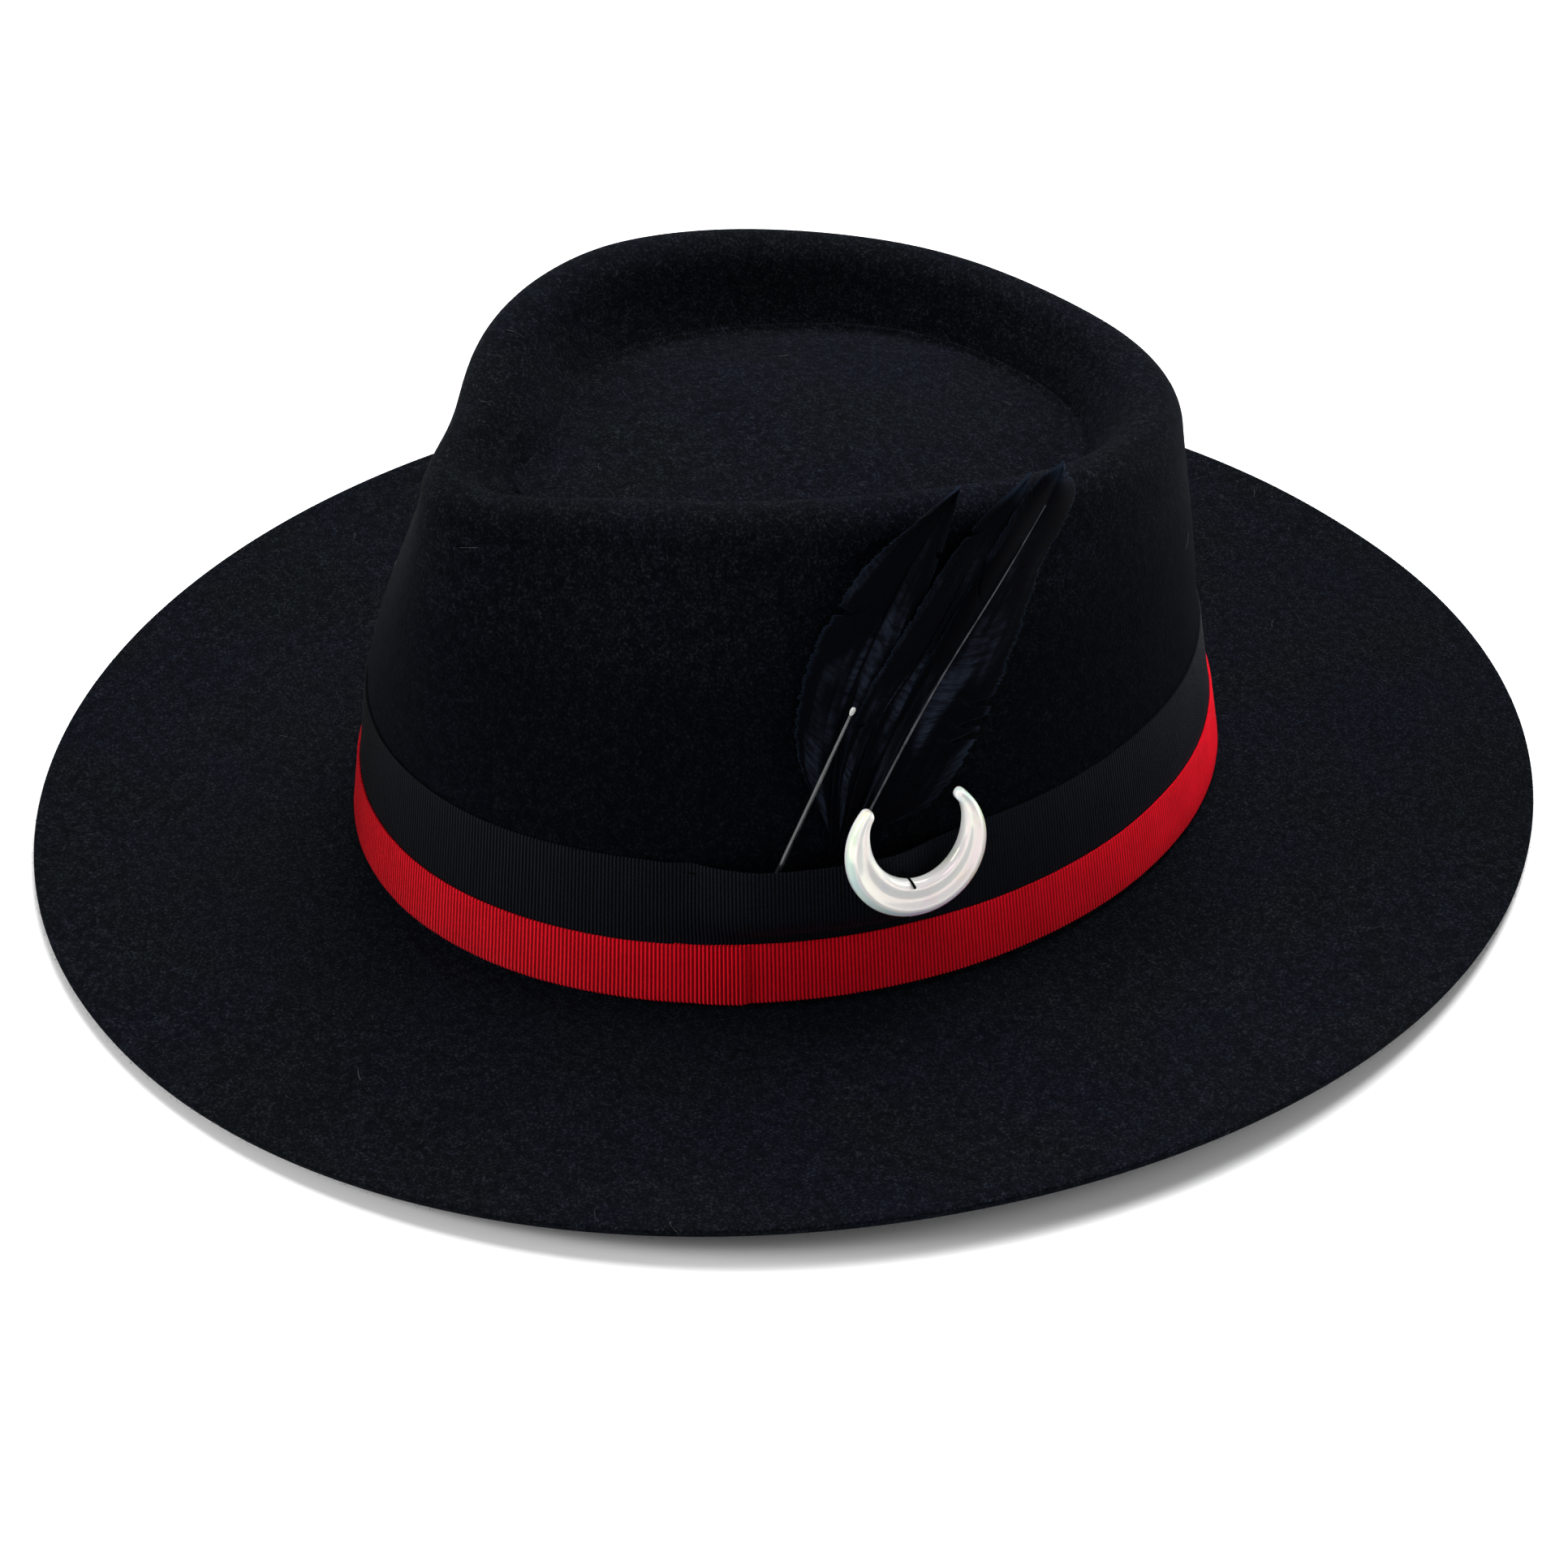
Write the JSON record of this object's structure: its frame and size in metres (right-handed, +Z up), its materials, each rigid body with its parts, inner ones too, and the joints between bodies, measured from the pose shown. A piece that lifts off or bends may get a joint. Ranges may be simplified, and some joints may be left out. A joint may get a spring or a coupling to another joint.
{
  "type": "wide-brimmed felt hat",
  "caption": "Wide flat-brimmed felt hat with a teardrop crown, two grosgrain ribbons, tucked feathers, a stripped quill and a sewn crescent moon bead.",
  "frame": {"origin": "on the flat underside of the brim, under the middle of the hat's box", "axes": "-Y is the front of the hat, where the crown's teardrop comes to its point; +X is the wearer's left, where the feathers and the moon bead are; +Z is up through the crown"},
  "size_m": [0.3488, 0.3636, 0.1179],
  "materials": {
    "felt": "short-napped wool felt, near black with a navy cast",
    "dark_grosgrain": "ribbed navy-black ribbon, satin ribs",
    "red_grosgrain": "ribbed crimson ribbon, satin ribs",
    "thread": "black twisted sewing thread",
    "feather": "blue-black feather barbs with a satin sheen",
    "quill": "stripped translucent grey feather shaft",
    "pearl_glass": "white glass bead with a faint rainbow coating, very glossy",
    "leather": "smooth black sweatband leather, fine grain",
    "reed": "black plastic reed cord"
  },
  "bodies": {
    "hat": {"felt_body": "felt", "wide_ribbon": "dark_grosgrain", "narrow_ribbon": "red_grosgrain", "narrow_ribbon_end": "red_grosgrain", "ribbon_tacks": "thread", "moon_thread": "thread", "sweatband": "leather", "sweatband_reed": "reed", "sweatband_stitches": "thread", "sweatband_bow": "dark_grosgrain"},
    "feathers": {"feather_rear": "feather", "feather_middle": "feather", "feather_front": "feather", "feather_binding": "thread"},
    "quill": {"stripped_quill": "quill"},
    "moon": {"moon_bead": "pearl_glass"}
  },
  "joints": [
    {"name": "feathers_pull", "type": "slide", "parent": "hat", "child": "feathers", "axis": [-0.136, 0.0297, 0.9903], "range_m": [0, 0.045]},
    {"name": "quill_pull", "type": "slide", "parent": "hat", "child": "quill", "axis": [0.1424, 0.3628, 0.9209], "range_m": [0, 0.04]},
    {"name": "moon_swivel", "type": "hinge", "parent": "hat", "child": "moon", "pos_m": [0.09484, -0.02322, 0.03248], "axis": [0.98, -0.1426, 0.1388], "range_deg": [-12, 12]}
  ]
}
